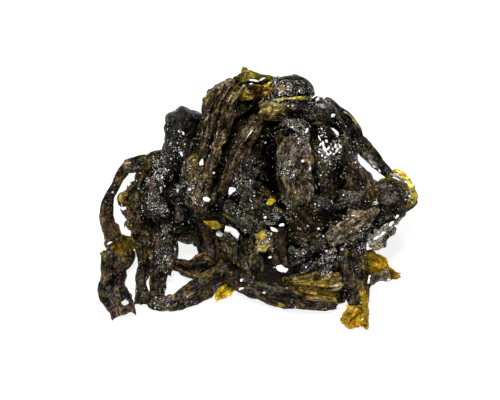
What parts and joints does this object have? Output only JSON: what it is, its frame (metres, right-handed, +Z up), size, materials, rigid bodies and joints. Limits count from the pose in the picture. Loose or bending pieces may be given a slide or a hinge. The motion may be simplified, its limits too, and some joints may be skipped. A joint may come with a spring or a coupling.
{
  "type": "salted wakame",
  "caption": "Tangled clump of salted wakame: dark rolled and folded seaweed fronds dusted with coarse salt, with thin golden edges and loose straps that trail on the table.",
  "frame": {"origin": "on the table, under the middle of the clump's box", "axes": "+X to the right along the clump's longest side as the picture shows it, +Y away from the front, +Z up"},
  "size_m": [0.1206, 0.1004, 0.0589],
  "materials": {
    "wakame": "satin, salted seaweed: near-black olive brown with golden translucent edges",
    "salt": "matte white salt grains"
  },
  "bodies": {
    "root": {"wakame_clump": "wakame"}
  },
  "joints": []
}
